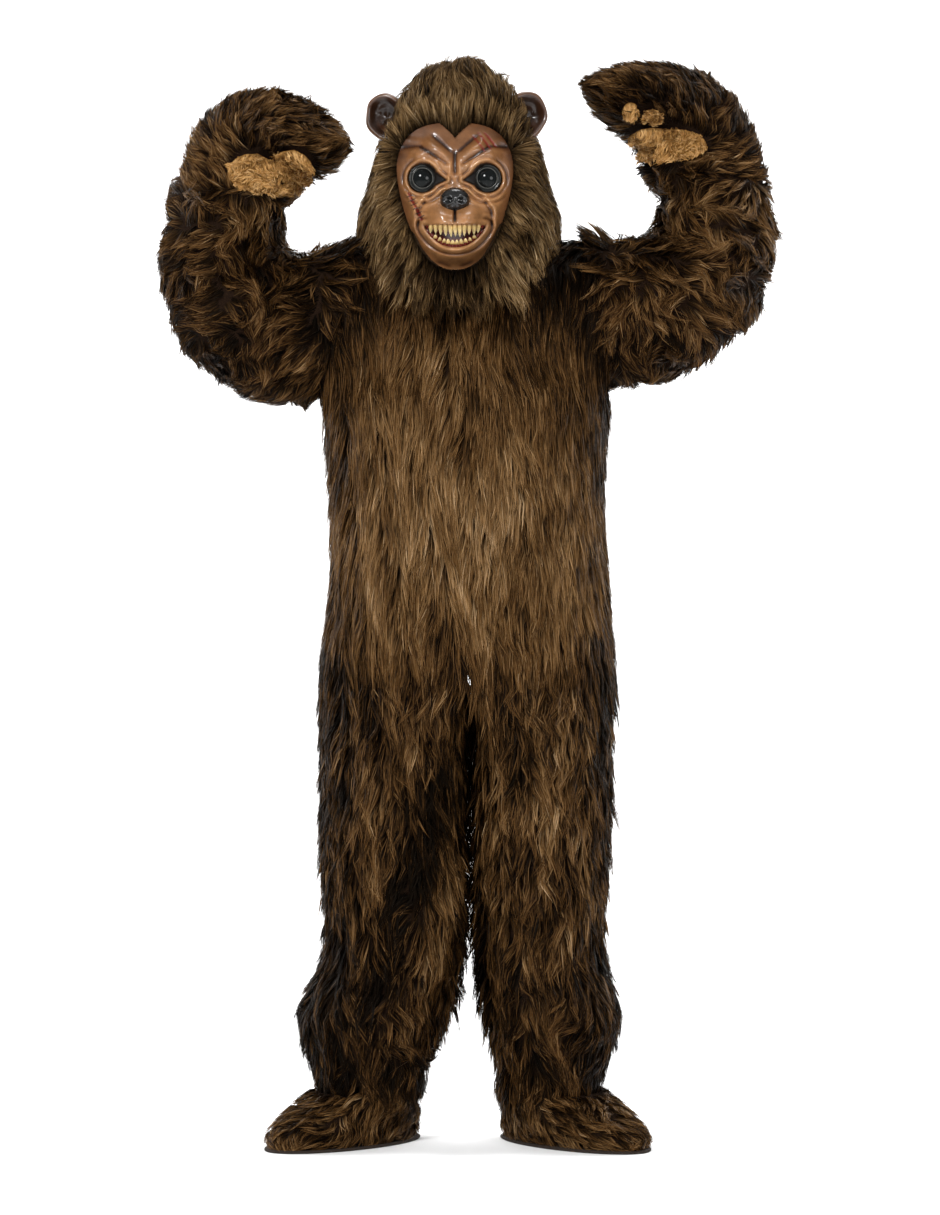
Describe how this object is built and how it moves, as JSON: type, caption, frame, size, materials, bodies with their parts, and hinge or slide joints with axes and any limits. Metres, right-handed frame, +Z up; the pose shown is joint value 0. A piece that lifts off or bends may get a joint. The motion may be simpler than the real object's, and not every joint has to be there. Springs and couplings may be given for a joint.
{
  "type": "bear mascot costume",
  "caption": "Worn one-piece fur bear costume with hood, moulded face mask, mitts and boot covers, arms raised.",
  "frame": {"origin": "middle of the body between the shoulders, where the wearer carries the costume, 1.483 m above the soles", "axes": "+Z up along the wearer, -Y towards the front of the costume, +X to the viewer's right seen from the front"},
  "size_m": [1.0721, 0.3493, 1.8685],
  "materials": {
    "fur_body": "dark brown long pile fur",
    "fur_hood": "taupe long pile fur",
    "latex": "glossy painted latex",
    "plush": "short pile plush",
    "black_gloss": "gloss black",
    "tooth": "yellowed gloss",
    "sole_cloth": "dark felt"
  },
  "bodies": {
    "root": {"torso_front_left": "fur_body", "torso_front_right": "fur_body", "torso_back_left": "fur_body", "torso_back_right": "fur_body", "leg_left_front": "fur_body", "leg_left_back": "fur_body", "leg_right_front": "fur_body", "leg_right_back": "fur_body", "sleeve_left_front": "fur_body", "sleeve_left_back": "fur_body", "sleeve_right_front": "fur_body", "sleeve_right_back": "fur_body", "mitt_left_front": "fur_body", "mitt_left_back": "fur_body", "mitt_right_front": "fur_body", "mitt_right_back": "fur_body", "palm_left": "plush", "palm_right": "plush", "finger_pad_right_1": "plush", "finger_pad_right_2": "plush", "hood_left": "fur_hood", "hood_right": "fur_hood", "mask_face": "latex", "ear_left": "latex", "ear_right": "latex", "nose": "black_gloss", "eye_left": "black_gloss", "eye_right": "black_gloss", "teeth_and_gums": "tooth", "boot_left": "fur_body", "boot_right": "fur_body", "sole_left": "sole_cloth", "sole_right": "sole_cloth"}
  },
  "joints": []
}
